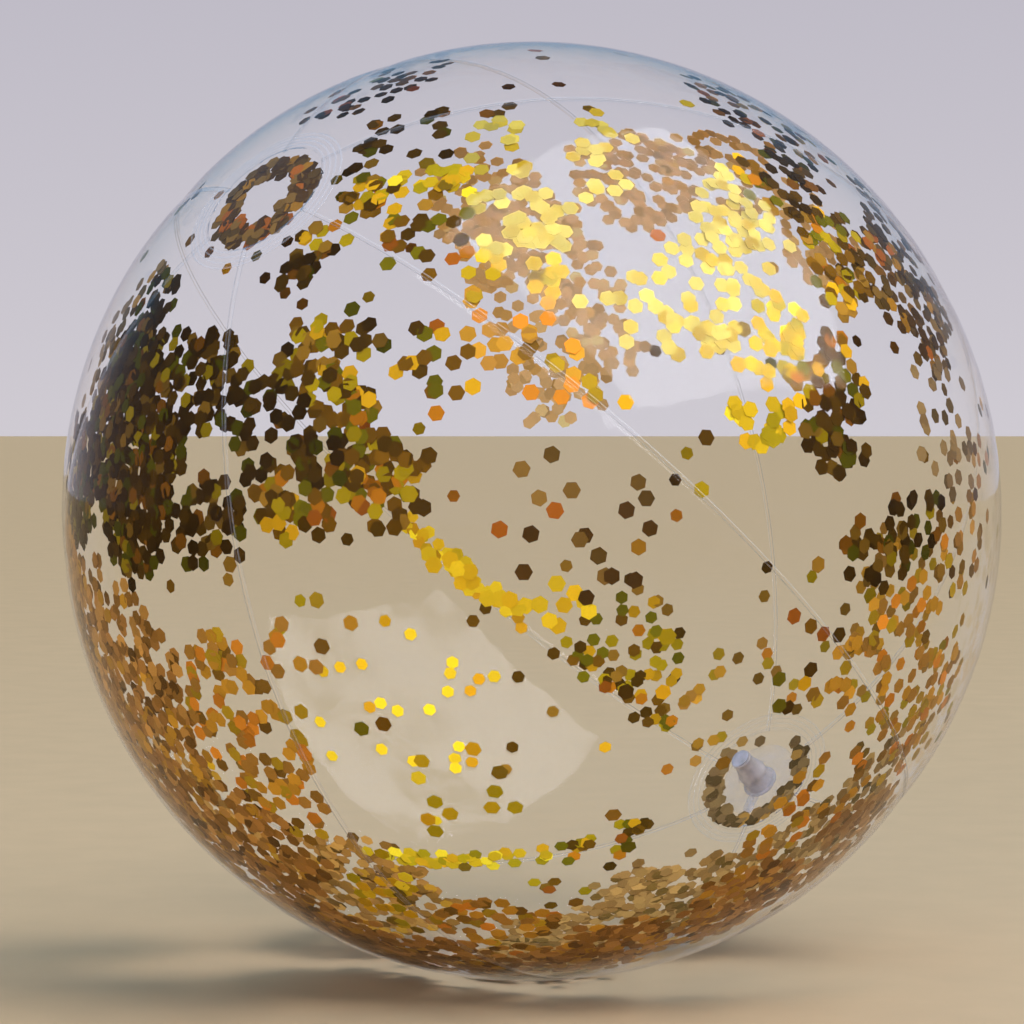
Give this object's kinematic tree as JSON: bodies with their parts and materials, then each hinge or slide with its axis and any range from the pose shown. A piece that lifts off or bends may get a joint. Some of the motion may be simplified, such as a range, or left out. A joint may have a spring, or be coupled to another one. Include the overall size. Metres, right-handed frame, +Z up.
{
  "type": "inflatable beach ball",
  "caption": "Clear inflatable beach ball of welded film gores with round pole caps, a push-in valve and gold hexagonal glitter inside, standing on a small pressed flat.",
  "frame": {"origin": "middle of the pressed flat that the ball rests on, on the floor", "axes": "+Z up; the plain pole cap faces up, left and towards -Y, and the valve cap is opposite it"},
  "size_m": [0.3498, 0.35, 0.3488],
  "materials": {
    "clear_film": "gloss, clear soft vinyl film",
    "cap_film": "gloss, clear soft vinyl film, two layers",
    "valve_vinyl": "satin, translucent soft vinyl",
    "gold_foil": "mirror foil flakes"
  },
  "bodies": {
    "ball": {"gore_1": "clear_film", "gore_2": "clear_film", "gore_3": "clear_film", "gore_4": "clear_film", "gore_5": "clear_film", "gore_6": "clear_film", "end_cap": "cap_film", "valve_cap": "cap_film", "valve_flange": "valve_vinyl", "glitter_gore_1": "gold_foil", "glitter_gore_2": "gold_foil", "glitter_gore_3": "gold_foil", "glitter_gore_4": "gold_foil", "glitter_gore_5": "gold_foil", "glitter_gore_6": "gold_foil", "glitter_end_cap": "gold_foil", "glitter_valve_cap": "gold_foil"},
    "stem": {"valve_stem": "valve_vinyl"},
    "plug": {"valve_plug": "valve_vinyl", "plug_tether": "valve_vinyl"},
    "flap": {"check_flap": "cap_film"},
    "heap": {"loose_glitter": "gold_foil"}
  },
  "joints": [
    {"name": "stem_pull_out", "type": "slide", "parent": "ball", "child": "stem", "axis": [0.5321, 0.551, -0.6428], "range_m": [0, 0.01]},
    {"name": "plug_pull", "type": "slide", "parent": "stem", "child": "plug", "axis": [0.5321, 0.551, -0.6428], "range_m": [0, 0.012]},
    {"name": "flap_open", "type": "hinge", "parent": "stem", "child": "flap", "pos_m": [0.08302, 0.08597, 0.06783], "axis": [0.7193, -0.6947, 0], "range_deg": [0, 50]},
    {"name": "heap_slide", "type": "hinge", "parent": "ball", "child": "heap", "pos_m": [0, 0, 0.17385], "axis": [0, 1, 0], "range_deg": [-30, 30]}
  ]
}
